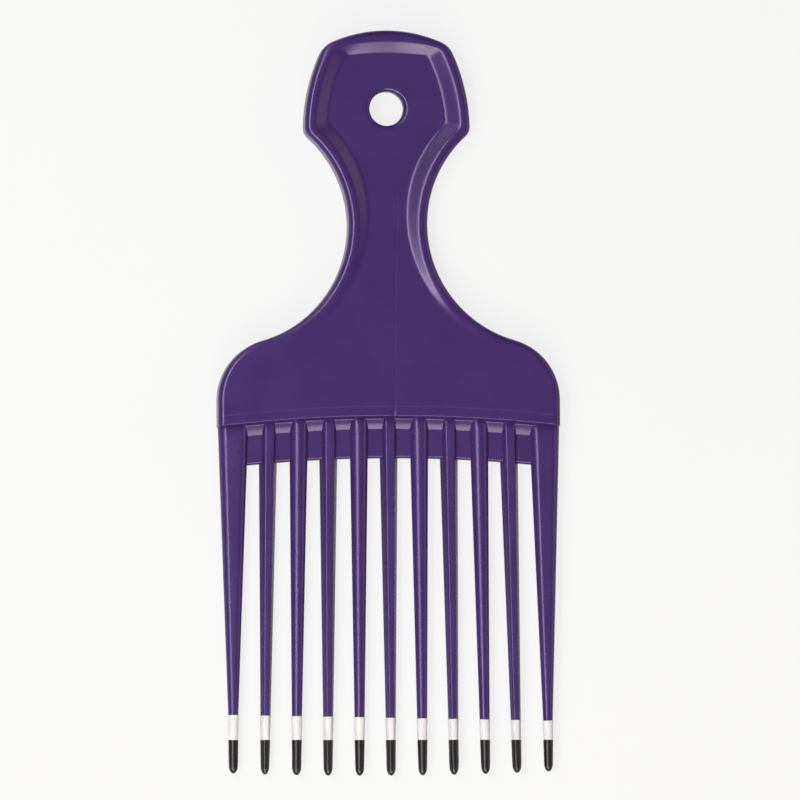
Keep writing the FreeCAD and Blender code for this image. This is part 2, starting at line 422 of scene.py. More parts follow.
class Board:
    """The nodes of a material or of the world, written as expressions."""

    def __init__(self, owner: bpy.types.Material | bpy.types.World) -> None:
        """Clear the owner's nodes.

        Args:
            owner: The material or world.
        """
        owner.use_nodes = True
        self.owner = owner
        self.tree = owner.node_tree
        self.tree.nodes.clear()

    @classmethod
    def for_material(cls, name: str) -> Board:
        """Start a material."""
        return cls(bpy.data.materials.new(name))

    def node(self, kind: str, settings: dict[str, Any], inputs: dict[str | int, Any]) -> bpy.types.Node:
        """Add a node.

        Args:
            kind: The node's type.
            settings: Its own settings, set first.
            inputs: Values or signals for its sockets, by name or number.

        Returns:
            The node.
        """
        made = self.tree.nodes.new(kind)
        for name, value in settings.items():
            setattr(made, name, value)
        for name, value in inputs.items():
            if isinstance(value, Signal):
                self.tree.links.new(value.socket, made.inputs[name])
            else:
                made.inputs[name].default_value = value
        return made

    def signal(
        self,
        kind: str,
        output: str | int,
        settings: dict[str, Any],
        inputs: dict[str | int, Any],
    ) -> Signal:
        """Add a node and give one of its outputs.

        Args:
            kind: The node's type.
            output: Name or number of the output.
            settings: The node's own settings.
            inputs: Values or signals for its sockets.

        Returns:
            The output.
        """
        return Signal(self, self.node(kind, settings, inputs).outputs[output])

    def math(self, operation: str, *values: Signal | float) -> Signal:
        """Work out a number with a Math node."""
        return self.signal("ShaderNodeMath", 0, {"operation": operation}, dict(enumerate(values)))

    def mix(self, share: Signal, first: Colour, second: Colour) -> Signal:
        """Mix two colours."""
        inputs = {"Factor": share, 6: (*first, 1.0), 7: (*second, 1.0)}
        return self.signal("ShaderNodeMix", 2, {"data_type": "RGBA"}, inputs)

    def place(self) -> Signal:
        """The shaded point's place on the pick, in millimetres."""
        point = self.signal("ShaderNodeTexCoord", "Object", {}, {})
        return self.signal("ShaderNodeVectorMath", 0, {"operation": "SCALE"}, {0: point, "Scale": 1 / MM})

    def axes(self, place: Signal) -> tuple[Signal, Signal, Signal]:
        """The three coordinates of a place."""
        parts = self.node("ShaderNodeSeparateXYZ", {}, {0: place})
        return tuple(Signal(self, output) for output in parts.outputs)

    def rays(self, *kinds: str) -> Signal:
        """Find whether the light path is one of some kinds.

        Args:
            *kinds: Names of the Light Path node's outputs.

        Returns:
            1 where it is, 0 where it isn't.
        """
        path = self.node("ShaderNodeLightPath", {}, {}).outputs
        found = Signal(self, path[kinds[0]])
        for kind in kinds[1:]:
            found = self.math("MAXIMUM", found, Signal(self, path[kind]))
        return found

    def noise(
        self,
        place: Signal,
        size: float,
        detail: float = 2.0,
        stretch: Sequence[float] = (1, 1, 1),
    ) -> Signal:
        """Soft random patches, about 0 to 1.

        Args:
            place: Where the pattern is read.
            size: Size of a patch in millimetres.
            detail: How many finer layers lie over it.
            stretch: How many times as long the patches are along each axis.

        Returns:
            The pattern.
        """
        scale = [1 / (size * factor) for factor in stretch]
        scaled = self.signal("ShaderNodeVectorMath", 0, {"operation": "MULTIPLY"}, {0: place, 1: scale})
        return self.signal("ShaderNodeTexNoise", 0, {}, {"Vector": scaled, "Scale": 1.0, "Detail": detail})

    def bump(self, height: Signal, depth: float) -> Signal:
        """The surface's normal under a relief.

        Args:
            height: The relief, about 0 to 1.
            depth: Its height in millimetres.

        Returns:
            The normal.
        """
        inputs = {"Height": height, "Distance": depth * MM, "Strength": 1.0}
        return self.signal("ShaderNodeBump", 0, {}, inputs)

    def surface(self, glow: Signal | None = None, **inputs: Any) -> bpy.types.Material:
        """Finish the material with a Principled shader.

        Args:
            glow: Share of the surface that shines white by itself, if any.
            **inputs: The shader's sockets, with underscores for the spaces in their names.

        Returns:
            The material.
        """
        named = {name.replace("_", " "): value for name, value in inputs.items()}
        shader = self.signal("ShaderNodeBsdfPrincipled", 0, {}, named)
        if glow:
            white = self.signal("ShaderNodeEmission", 0, {}, {"Strength": 1.0})
            shader = self.signal("ShaderNodeMixShader", 0, {}, {0: glow, 1: shader, 2: white})
        self.node("ShaderNodeOutputMaterial", {}, {"Surface": shader})
        return self.owner


@dataclass(frozen=True)
class PurpleMoulding:
    """Satin purple plastic: faint cloudiness, a fine mould grain, and a weld line below the hole."""

    deep: Colour = (0.042, 0.0195, 0.114)
    clear: Colour = (0.049, 0.0225, 0.130)
    sheen: Colour = (0.85, 0.76, 1.0)
    roughness: float = 0.21
    roughness_spread: float = 0.08
    tine_roughness: float = 0.06
    tine_top: float = -4.0
    tine_fade: float = 3.0
    ior: float = 1.55
    cloud_size: float = 9.0
    cloud_detail: float = 4.0
    cloud_span: tuple[float, float] = (0.3, 0.7)
    ripple_size: float = 2.2
    ripple_height: float = 0.002
    grain_size: float = 0.16
    grain_height: float = 0.0025
    weld_top: float = 60.0
    weld_end: float = -3.0
    weld_x: float = 1.0
    weld_lean: float = 0.02
    weld_width: float = 0.3
    weld_depth: float = 0.02
    weld_fade: float = 20.0
    weld_wander: float = 1.2
    wander_stretch: tuple[float, float, float] = (0.2, 1.0, 1.0)
    front_fade: float = 0.5
    sink_top: float = 1.2
    sink_fade: float = 1.5
    sink_width: float = 0.8
    sink_depth: float = 0.05

    def material(self, middle: float) -> bpy.types.Material:
        """Make the material.

        Args:
            middle: Height of the pick's middle plane.

        Returns:
            The material.
        """
        board = Board.for_material(Slot.PURPLE.value)
        place = board.place()
        x, y, z = board.axes(place)
        cloud = board.noise(place, self.cloud_size, self.cloud_detail)
        ripple = board.noise(place, self.ripple_size, 1.0)
        grain = board.noise(place, self.grain_size)
        wander = board.noise(place, self.cloud_size, 1.0, self.wander_stretch) - 0.5
        off_line = abs(x - (y - self.weld_end) * self.weld_lean + (wander * self.weld_wander - self.weld_x))
        in_front = z.ramp(middle, middle + self.front_fade)
        front = in_front * y.ramp(self.weld_end - self.weld_width, self.weld_end)
        below_weld = 1 - y.ramp(self.weld_top - self.weld_fade, self.weld_top)
        below_sink = 1 - y.ramp(self.sink_top - self.sink_fade, self.sink_top)
        weld = (1 - off_line.ramp(0, self.weld_width)) * below_weld
        sink = (1 - off_line.ramp(0, self.sink_width)) * below_sink
        dent = (weld * self.weld_depth + sink * self.sink_depth) * front
        relief = ripple * self.ripple_height + grain * self.grain_height - dent
        dull = (1 - y.ramp(self.tine_top - self.tine_fade, self.tine_top)) * self.tine_roughness
        return board.surface(
            Base_Color=board.mix(cloud.ramp(*self.cloud_span), self.deep, self.clear),
            Roughness=cloud * self.roughness_spread + dull + (self.roughness - self.roughness_spread / 2),
            IOR=self.ior,
            Specular_Tint=(*self.sheen, 1.0),
            Normal=board.bump(relief, 1.0),
        )


@dataclass(frozen=True)
class DipCoating:
    """Paint that a tine's tip was dipped in: slightly uneven, with a fine skin."""

    slot: Slot
    shade: Colour
    tint: Colour
    roughness: float
    roughness_spread: float
    skin_size: float = 0.9
    skin_height: float = 0.006
    run_length: float = 5.0
    run_detail: float = 3.0
    run_span: tuple[float, float] = (0.25, 0.75)
    ior: float = 1.5

    def material(self) -> bpy.types.Material:
        """Make the material."""
        board = Board.for_material(self.slot.value)
        place = board.place()
        runs = board.noise(place, self.skin_size, self.run_detail, (1, self.run_length, 1))
        skin = board.noise(place, self.skin_size / 2)
        return board.surface(
            Base_Color=board.mix(runs.ramp(*self.run_span), self.shade, self.tint),
            Roughness=skin * self.roughness_spread + (self.roughness - self.roughness_spread / 2),
            IOR=self.ior,
            Normal=board.bump(runs + skin, self.skin_height),
        )


WHITE_PAINT = DipCoating(
    slot=Slot.WHITE,
    shade=(0.62, 0.63, 0.64),
    tint=(0.73, 0.74, 0.75),
    roughness=0.45,
    roughness_spread=0.1,
)
BLACK_PAINT = DipCoating(
    slot=Slot.BLACK,
    shade=(0.008, 0.007, 0.009),
    tint=(0.014, 0.012, 0.015),
    roughness=0.3,
    roughness_spread=0.1,
)


@dataclass(frozen=True)
class PaleFloor:
    """A plain pale table top."""

    light: Colour = (0.62, 0.62, 0.62)
    dull: Colour = (0.59, 0.59, 0.59)
    roughness: float = 0.9
    patch_size: float = 120.0
    patch_span: tuple[float, float] = (0.3, 0.7)
    lift: float = 0.8
    mirrored_lift: float = 0.15

    def material(self) -> bpy.types.Material:
        """Make the material."""
        board = Board.for_material("pale_floor")
        patches = board.noise(board.place(), self.patch_size)
        seen = board.rays("Is Camera Ray", "Is Transmission Ray") * self.lift
        mirrored = board.rays("Is Glossy Ray") * self.mirrored_lift
        return board.surface(
            Base_Color=board.mix(patches.ramp(*self.patch_span), self.dull, self.light),
            Roughness=self.roughness,
            Specular_IOR_Level=0.0,
            glow=board.math("MAXIMUM", seen, mirrored),
        )


@dataclass(frozen=True)
class LedgeRow:
    """One line of the ledge under the shoulder.

    Attributes:
        above_lip: Its height above the lip.
        half_thickness: Half the handle's thickness there.
        end_inset: How far its ends are drawn in behind the outer tines.
    """

    above_lip: float
    half_thickness: float
    end_inset: float = 0.0


@dataclass
class Handle:
    """Head with hanging hole, neck, shoulder, ledge and root bar."""

    top: float
    half_width: float
    half_thickness: float
    hole_y: float
    hole_radius: float
    head_width: float = 36.8
    crown_radius: float = 30.0
    corner_radii: tuple[float, float, float] = (5.0, 3.0, 1.8)
    side_radius: float = 42.0
    ear_drop: float = 22.3
    ear_radii: tuple[float, float, float] = (3.0, 2.2, 1.5)
    neck_width: float = 17.5
    neck_drop: float = 43.2
    neck_radius: float = 26.6
    shoulder_radius: float = 13.7
    shoulder_side: float = 5.64
    edge_radius: float = 1.3
    rim_width: float = 1.7
    panel_depth: float = 1.5
    wall_run: float = 3.9
    top_wall_run: float = 4.1
    top_bow: float = 0.4
    panel_floor_end: float = 55.0
    panel_rim_end: float = 9.0
    wall_ease: float = 0.2
    run_out_ease: float = 0.15
    run_out_narrowing: float = 0.33
    hole_edge_radius: float = 1.0
    ledge_rise: float = 2.2
    end_run: float = 5.0
    bar_reach: float = 34.6
    bar_drop: float = 9.4
    bar_edge_radius: float = 0.7
    ledge_rows: tuple[LedgeRow, ...] = (
        LedgeRow(2.2, 3.5),
        LedgeRow(2.05, 3.46),
        LedgeRow(1.95, 3.415),
        LedgeRow(1.8, 3.385),
        LedgeRow(1.6, 3.378),
        LedgeRow(0.12, 3.37),
        LedgeRow(0.0, 3.35),
        LedgeRow(-0.1, 3.29),
        LedgeRow(-0.18, 3.2),
        LedgeRow(-0.25, 3.06),
        LedgeRow(-0.5, 2.2, 0.5),
        LedgeRow(-0.58, 2.02, 0.7),
        LedgeRow(-0.7, 1.9, 0.9),
        LedgeRow(-0.85, 1.84, 1.1),
        LedgeRow(-1.5, 1.65, 1.3),
        LedgeRow(-2.2, 1.4, 1.3),
        LedgeRow(-2.85, 1.09, 1.3),
        LedgeRow(-2.98, 1.03, 1.3),
        LedgeRow(-3.2, 1.0, 1.3),
    )
    wall_shares: tuple[float, ...] = (
        *(0.0, 0.08, 0.16, 0.24, 0.32, 0.42),
        *(0.5, 0.58, 0.68, 0.76, 0.84, 0.92, 1.0),
    )
    crown_steps: int = 10
    corner_steps: int = 6
    side_steps: int = 14
    ear_steps: int = 7
    neck_steps: int = 44
    shoulder_steps: int = 18
    floor_cuts: int = 4
    edge_segments: int = 7
    hole_segments: int = 7
    bar_segments: int = 5
    smooth_angle: float = 40.0
    neck_centre: Vector = field(init=False)
    shoulder_centre: Vector = field(init=False)
    lip: float = field(init=False)

    def __post_init__(self) -> None:
        """Work out the centres of the outline's arcs and the level of the ledge's lip."""
        neck_x = self.neck_width / 2 + self.neck_radius
        shoulder_x = self.half_width - self.shoulder_radius
        drop = math.sqrt((self.neck_radius + self.shoulder_radius) ** 2 - (neck_x - shoulder_x) ** 2)
        self.neck_centre = flat(neck_x, self.top - self.neck_drop)
        self.shoulder_centre = flat(shoulder_x, self.neck_centre.y - drop)
        self.lip = self.shoulder_centre.y - self.shoulder_side + self.ledge_rise

    def sag(self, x: float) -> float:
        """How far the ledge's arch lies below its middle at a place across the pick."""
        radius = (self.half_width**2 + self.ledge_rise**2) / (2 * self.ledge_rise)
        return radius - math.sqrt(radius**2 - x**2)

    def crown(self, share: float) -> tuple[Vector, float]:
        """The arc across the top of the head, at the rim (share 0) or down the panel's top wall (up to 1).

        Args:
            share: How far down the wall.

        Returns:
            The arc's centre and radius.
        """
        half = self.head_width / 2
        rim_bow = half**2 / (2 * self.crown_radius)
        bow = blend(rim_bow, self.top_bow, share)
        bend = (half**2 + bow**2) / (2 * bow)
        return flat(0, self.top - self.rim_width - share * self.top_wall_run - bend), bend

    def outline(self) -> Chain:
        """The right half of the handle's outline, from the crown down to the ledge."""
        centre = flat(0, self.top - self.crown_radius)
        return self.ring(0.0, centre, self.crown_radius, self.corner_radii[0], self.ear_radii[0])

    def wall_ring(self, share: float) -> Chain:
        """The right half of the sunken panel's outline, part-way down its wall."""
        centre, radius = self.crown(share)
        inset = self.rim_width + share * self.wall_run
        corner = blend(*self.corner_radii[1:], share)
        ear = blend(*self.ear_radii[1:], share)
        return self.ring(inset, centre, radius, corner, ear)

    def ring(self, inset: float, crown: Vector, crown_radius: float, corner: float, ear: float) -> Chain:
        """A line that follows the right half of the outline at a distance.

        Args:
            inset: Distance inside the outline.
            crown: Centre of the arc across the top.
            crown_radius: Radius of that arc.
            corner: Radius of the corner beside it.
            ear: Radius of the corner at the ear.

        Returns:
            The line, in the middle plane.
        """
        side = flat(self.head_width / 2 - self.side_radius, self.top - self.ear_drop)
        side_radius = self.side_radius - inset
        neck_radius = self.neck_radius + inset
        corner_centre = circles_meet(crown, crown_radius - corner, side, side_radius - corner, -1)
        ear_centre = circles_meet(side, side_radius - ear, self.neck_centre, neck_radius + ear, 1)
        join = on_circle(self.neck_centre, neck_radius, self.shoulder_centre)
        side_x = self.half_width - inset
        strokes = [
            Arc(crown, on_circle(crown, crown_radius, corner_centre), self.crown_steps),
            Arc(corner_centre, on_circle(side, side_radius, corner_centre), self.corner_steps),
            Arc(side, on_circle(side, side_radius, ear_centre), self.side_steps),
            Arc(ear_centre, on_circle(self.neck_centre, neck_radius, ear_centre), self.ear_steps),
            Arc(self.neck_centre, join, self.neck_steps),
            Arc(self.shoulder_centre, flat(side_x, self.shoulder_centre.y), self.shoulder_steps),
        ]
        strokes += [Line(flat(side_x, self.lip + row.above_lip)) for row in self.ledge_rows]
        return Chain(flat(0, crown.y + crown_radius), strokes)

    def spine(self) -> Chain:
        """Round the right half of the hanging hole, then down the pick's middle to the ledge."""
        hole = flat(0, self.hole_y)
        radius = self.hole_radius + self.hole_edge_radius
        around = self.crown_steps + self.corner_steps + self.side_steps + self.ear_steps
        quarter = around // 2
        strokes = [
            Arc(hole, hole + ACROSS * radius, quarter),
            Arc(hole, hole - ALONG * radius, around - quarter),
            Line(flat(0, self.shoulder_centre.y + self.shoulder_radius), self.neck_steps),
            Line(flat(0, self.shoulder_centre.y + self.ledge_rise), self.shoulder_steps),
        ]
        strokes += [Line(flat(0, self.lip + row.above_lip)) for row in self.ledge_rows]
        return Chain(hole + ALONG * radius, strokes)

    def depth_share(self, wall_share: float, y: float) -> float:
        """How deep the panel is: its wall has eased ends, and it narrows as it runs out on the shoulder.

        Args:
            wall_share: How far down the wall, from 0 at the rim to 1 at the floor.
            y: Level along the pick.

        Returns:
            The share of the panel's full depth.
        """
        run_out = (y - self.panel_rim_end) / (self.panel_floor_end - self.panel_rim_end)
        floor = eased(run_out, self.run_out_ease)
        return eased(wall_share / blend(self.run_out_narrowing, 1.0, floor), self.wall_ease) * floor

    def build(self) -> bpy.types.Object:
        """Model the handle: a quarter of it as a sheet with turned-down edges, mirrored twice.

        Returns:
            The finished piece.
        """
        work = Workpiece("handle_moulding")
        walls = [self.wall_ring(share) for share in self.wall_shares]
        rings = work.loft([self.outline(), *walls])
        spine = work.draw(self.spine())
        work.bridge(rings[-1], spine, self.floor_cuts)
        bpy.ops.mesh.select_all(action="SELECT")
        work.move(UP * self.half_thickness)
        self.sink_panel(work, rings)
        self.turn_down_edges(work, rings[0])
        self.step_ledge(work)
        for axis in range(2):
            mirrored = [number == 2 * axis for number in range(3)]
            work.modify("MIRROR", use_axis=mirrored, merge_threshold=NEAR * MM / 10)
        self.grow_bar(work)
        return work.finish(self.half_thickness, self.smooth_angle)

    def sink_panel(self, work: Workpiece, rings: Sequence[range]) -> None:
        """Press the panel into the flat sheet.

        Args:
            work: The sheet.
            rings: Vertex numbers of the outline and of each ring down the wall.
        """
        shares = dict.fromkeys(rings[0], 0.0)
        for numbers, share in zip(rings[1:], self.wall_shares, strict=True):
            shares.update(dict.fromkeys(numbers, share))
        work.press(
            "Z",
            -self.panel_depth,
            lambda vertex: self.depth_share(shares.get(vertex.index, 1.0), vertex.co.y / MM),
        )

    def turn_down_edges(self, work: Workpiece, outline: range) -> None:
        """Turn the sheet's free edges down to the middle plane, with a rounding at each.

        Args:
            work: The sheet.
            outline: Vertex numbers of its outline.
        """
        hole = flat(0, self.hole_y)
        rim = self.hole_radius + self.hole_edge_radius

        def free(edge: bmesh.types.BMEdge) -> bool:
            return edge.is_boundary and any(vert.co.x > NEAR * MM for vert in edge.verts)

        def at_hole(edge: bmesh.types.BMEdge) -> bool:
            return all((vert.co.xy / MM - hole.xy).length < rim + NEAR for vert in edge.verts)

        work.pick_edges(lambda edge: free(edge) and not at_hole(edge))
        bpy.ops.mesh.extrude_edges_move()
        work.resize((1, 1, 0))
        work.pick_edges(lambda edge: all(vert.index in outline for vert in edge.verts))
        work.bevel(self.edge_radius, self.edge_segments)
        work.pick_edges(lambda edge: free(edge) and at_hole(edge))
        angles = [math.pi / 2 * step / self.hole_segments for step in range(self.hole_segments + 1)]
        for start, end in pairwise(angles):
            fall = self.hole_edge_radius * (math.cos(end) - math.cos(start))
            first, second = (rim - self.hole_edge_radius * math.sin(angle) for angle in (start, end))
            bpy.ops.mesh.extrude_edges_move(TRANSFORM_OT_translate={"value": UP * fall * MM})
            bpy.ops.transform.resize(value=(second / first, second / first, 1), center_override=hole * MM)
        bpy.ops.mesh.extrude_edges_move()
        work.resize((1, 1, 0))

    def step_ledge(self, work: Workpiece) -> None:
        """Thin the handle row by row under the shoulder, draw the rows' ends in and arch the ledge."""
        for row in self.ledge_rows:
            level = self.lip + row.above_lip
            work.pick_verts(lambda vert, level=level: abs(vert.co.y / MM - level) < NEAR)
            work.resize((1, 1, row.half_thickness / self.half_thickness))
        top_row = self.lip + self.ledge_rows[0].above_lip + NEAR
        deepest = max(row.end_inset for row in self.ledge_rows)

        def drawn_in(vertex: bpy.types.MeshVertex) -> float:
            level = vertex.co.y / MM - self.lip
            inset = next((row.end_inset for row in self.ledge_rows if abs(row.above_lip - level) < NEAR), 0.0)
            return inset / deepest * max(0.0, 1 - (self.half_width - vertex.co.x / MM) / self.end_run)

        def arched(vertex: bpy.types.MeshVertex) -> float:
            return self.sag(vertex.co.x / MM) / self.ledge_rise if vertex.co.y / MM < top_row else 0.0

        work.press("X", -deepest, drawn_in)
        work.press("Y", -self.ledge_rise, arched)

    def grow_bar(self, work: Workpiece) -> None:
        """Draw the root bar out of the ledge's lower edge and round its own."""
        bpy.ops.mesh.select_all(action="SELECT")
        bpy.ops.mesh.normals_make_consistent(inside=False)
        foot = self.ledge_rows[-1].half_thickness

        def under_foot(face: bmesh.types.BMFace) -> bool:
            x, y, z = face.calc_center_median() / MM
            return face.normal.y < -0.9 and abs(x) < self.bar_reach and y < self.lip and abs(z) < foot

        work.pick_faces(under_foot)
        length = self.bar_drop + self.ledge_rows[-1].above_lip
        bpy.ops.mesh.extrude_region_move(TRANSFORM_OT_translate={"value": -ALONG * length * MM})
        bpy.ops.mesh.region_to_loop()
        work.bevel(self.bar_edge_radius, self.bar_segments)


@dataclass(frozen=True)
class Section:
    """Sizes of a tine's section: a broad face with two round corners, and a narrower ridge opposite."""

    width: float
    depth: float
    corner_radius: float
    ridge_inset: float
    ridge_radius: float

    def towards(self, other: Section, share: float) -> Section:
        """A section between this one and another."""
        pairs = zip(astuple(self), astuple(other), strict=True)
        return Section(*(blend(first, second, share) for first, second in pairs))


@dataclass
class Tine:
    """One tine of the moulding, from inside the ledge to its rounded tip."""

    number: int
    root_x: float
    tip_x: float
    root_y: float
    end_y: float
    root: Section
    ridge: Ridge
    point: Section = Section(2.28, 2.4, 1.05, 0.4, 0.5)
    tip: Section = Section(1.58, 1.6, 0.72, 0.2, 0.5)
    top_run: float = 2.6
    top_dips: tuple[float, ...] = (0.25, 0.16, 0.09, 0.04, 0.01, 0.0)
    shaft_shares: tuple[float, ...] = (0.25, 0.5, 0.75, 1.0)
    point_length: float = 13.0
    tip_round: float = 1.5
    tip_steps: int = 8
    corner_steps: int = 6
    smooth_angle: float = 50.0

    def section(self, y: float) -> Section:
        """Sizes of the section at a level: a long taper down the shaft, then a shorter one to the tip."""
        point_y = self.end_y + self.point_length
        if y >= point_y:
            return self.root.towards(self.point, (self.root_y - y) / (self.root_y - point_y))
        return self.point.towards(self.tip, (point_y - y) / self.point_length)

    def ring(self, y: float, coat: float = 0.0, shrink: float = 1.0, drop: float = 0.0) -> Chain:
        """A closed line round the tine.

        Args:
            y: Level along the pick that its size belongs to.
            coat: How far it stands off the tine.
            shrink: Scale towards the tine's middle, for the rounded tip.
            drop: How far below that level it lies.

        Returns:
            The line, about the pick's middle plane.
        """
        size = self.section(y)
        corner = size.corner_radius * shrink
        ridge = size.ridge_radius * shrink
        corner_x = size.width / 2 * shrink - corner
        corner_z = corner - size.depth / 2 * shrink
        ridge_x = (size.width / 2 - size.ridge_inset) * shrink - ridge
        ridge_z = size.depth / 2 * shrink - ridge
        share = (self.root_y - y) / (self.root_y - self.end_y)
        middle = flat(blend(self.root_x, self.tip_x, share), y - drop)
        side = self.ridge.value
        centres = [
            middle + Vector((-corner_x, 0, corner_z * side)),
            middle + Vector((corner_x, 0, corner_z * side)),
            middle + Vector((ridge_x, 0, ridge_z * side)),
            middle + Vector((-ridge_x, 0, ridge_z * side)),
        ]
        radii = [corner + coat, corner + coat, ridge + coat, ridge + coat]
        axis = -ALONG * side
        normals = [self.tangent(centres, radii, number, axis) for number in range(len(centres))]
        strokes: list[Line | Arc] = []
        for number, (centre, radius) in enumerate(zip(centres, radii, strict=True)):
            if number:
                strokes.append(Line(centre + normals[number - 1] * radius))
            strokes.append(Arc(centre, centre + normals[number] * radius, self.corner_steps))
        return Chain(centres[0] + normals[-1] * radii[0], strokes, axis, closed=True)

    @staticmethod
    def tangent(centres: Sequence[Vector], radii: Sequence[float], number: int, axis: Vector) -> Vector:
        """Outward normal of the straight line from one of a ring of circles to the next.

        Args:
            centres: The circles' centres, in turning order about the axis.
            radii: Their radii.
            number: Which circle the line leaves.
            axis: The axis.

        Returns:
            The normal.
        """
        following = (number + 1) % len(centres)
        span = centres[following] - centres[number]
        lean = (radii[number] - radii[following]) / span.length
        way = span.normalized()
        return way * lean + way.cross(axis) * math.sqrt(1 - lean**2)

    def tip_rings(self, coat: float = 0.0, swell: Callable[[float], float] | None = None) -> list[Chain]:
        """Lines round the rounded tip, down to a small one at its end.

        Args:
            coat: How far they stand off the tine.
            swell: How much further they stand off at a height above the tip, if at all.

        Returns:
            The lines, from the start of the rounding down.
        """
        rings = []
        for step in range(self.tip_steps + 1):
            angle = math.pi / 2 * step / (self.tip_steps + 0.5)
            height = self.tip_round * (1 - math.sin(angle))
            stand = coat + (swell(height) if swell else 0.0)
            shrink = math.cos(angle)
            rings.append(self.ring(self.end_y + height, stand * shrink, shrink, coat * math.sin(angle)))
        return rings

    def build(self) -> bpy.types.Object:
        """Model the tine.

        Returns:
            The finished piece.
        """
        work = Workpiece(f"tine_moulding_{self.number:02d}")
        step = self.top_run / (len(self.top_dips) - 1)
        levels = [self.root_y - step * number for number in range(len(self.top_dips))]
        point_y = self.end_y + self.point_length
        levels += [blend(levels[-1], point_y, share) for share in self.shaft_shares]
        rings = work.loft([self.ring(y) for y in levels] + self.tip_rings())
        close_ends(work, rings)
        for numbers, dip in zip(rings, self.top_dips):
            work.pick_verts(lambda vert, numbers=numbers: vert.index in numbers)
            work.resize((1, 1, 1 - dip))
        return work.finish(middle_height(), self.smooth_angle)


def close_ends(work: Workpiece, rings: Sequence[range]) -> None:
    """Close a loft with a face at each end."""
    for numbers in (rings[0], rings[-1]):
        work.pick_verts(lambda vert, numbers=numbers: vert.index in numbers)
        bpy.ops.mesh.edge_face_add()


def middle_height() -> float:
    """Height of the pick's middle plane in millimetres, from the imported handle."""
    low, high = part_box("handle")
    return (low.z + high.z) / 2 / MM


@dataclass
class Coat:
    """A dip coat: a thin cup over a tine's end, with a bead at its upper edge and a swell at its foot."""

    name: str
    slot: Slot
    tine: Tine
    top_y: float
    thickness: float
    under: float
    bead: float
    bead_height: float
    swell: float
    swell_height: float
    bead_profile: tuple[tuple[float, float], ...] = (
        (0.0, 0.0),
        (0.15, 0.4),
        (0.4, 1.0),
        (0.75, 0.6),
        (1.2, 0.0),
    )
    body_shares: tuple[float, ...] = (0.3, 0.55, 0.75, 0.9)
    smooth_angle: float = 50.0

    def bulge(self, height: float) -> float:
        """How far the run-down paint swells the coat at a height above the tip."""
        return self.swell * math.exp(-(((height - self.swell_height) / self.swell_height) ** 2))

    def build(self) -> bpy.types.Object:
        """Model the coat.

        Returns:
            The finished piece.
        """
        work = Workpiece(f"{self.name}_{self.tine.number:02d}")
        outer = self.under + self.thickness
        rings = self.tine.tip_rings(self.under)[::-1]
        for share, stand in self.bead_profile:
            y = self.top_y - share * self.bead_height
            skin = outer + stand * self.bead + self.bulge(y - self.tine.end_y)
            rings.append(self.tine.ring(y, skin if share else self.under))
        low = self.tine.end_y + self.tine.tip_round
        high = self.top_y - self.bead_profile[-1][0] * self.bead_height
        for share in self.body_shares:
            y = blend(high, low, share)
            rings.append(self.tine.ring(y, outer + self.bulge(y - self.tine.end_y)))
        close_ends(work, work.loft(rings + self.tine.tip_rings(outer, self.bulge)))
        return work.finish(middle_height(), self.smooth_angle)


@dataclass(frozen=True)
class SoftBox:
    """A lamp with a flat face, hung so that it faces the pick.

    Attributes:
        name: Name of the lamp.
        tilt: Degrees from straight overhead.
        heading: Degrees round from +X.
        width: Level width of its face.
        height: Height of its face.
        radiance: How bright its face is, where 1 is white.
        tint: Its colour.
        diffuse: Share of its light that also lights matt surfaces.
    """

    name: str
    tilt: float
    heading: float
    width: float
    height: float
    radiance: float
    tint: Colour = WHITE
    diffuse: float = 1.0

    def hang(self, distance: float) -> None:
        """Add the lamp to the scene.

        Args:
            distance: How far it hangs from the pick.
        """
        tilt = math.radians(self.tilt)
        heading = math.radians(self.heading)
        out = math.sin(tilt)
        way = Vector((out * math.cos(heading), out * math.sin(heading), math.cos(tilt)))
        lamp = bpy.data.lights.new(self.name, "AREA")
        lamp.shape = "RECTANGLE"
        lamp.size = self.width * MM
        lamp.size_y = self.height * MM
        lamp.energy = self.radiance * math.pi * lamp.size * lamp.size_y
        lamp.color = self.tint
        lamp.diffuse_factor = self.diffuse
        stand = bpy.data.objects.new(self.name, lamp)
        stand.location = way * distance * MM
        stand.rotation_euler = (tilt, 0, heading + math.pi / 2)
        stand.visible_camera = False
        bpy.context.scene.collection.objects.link(stand)


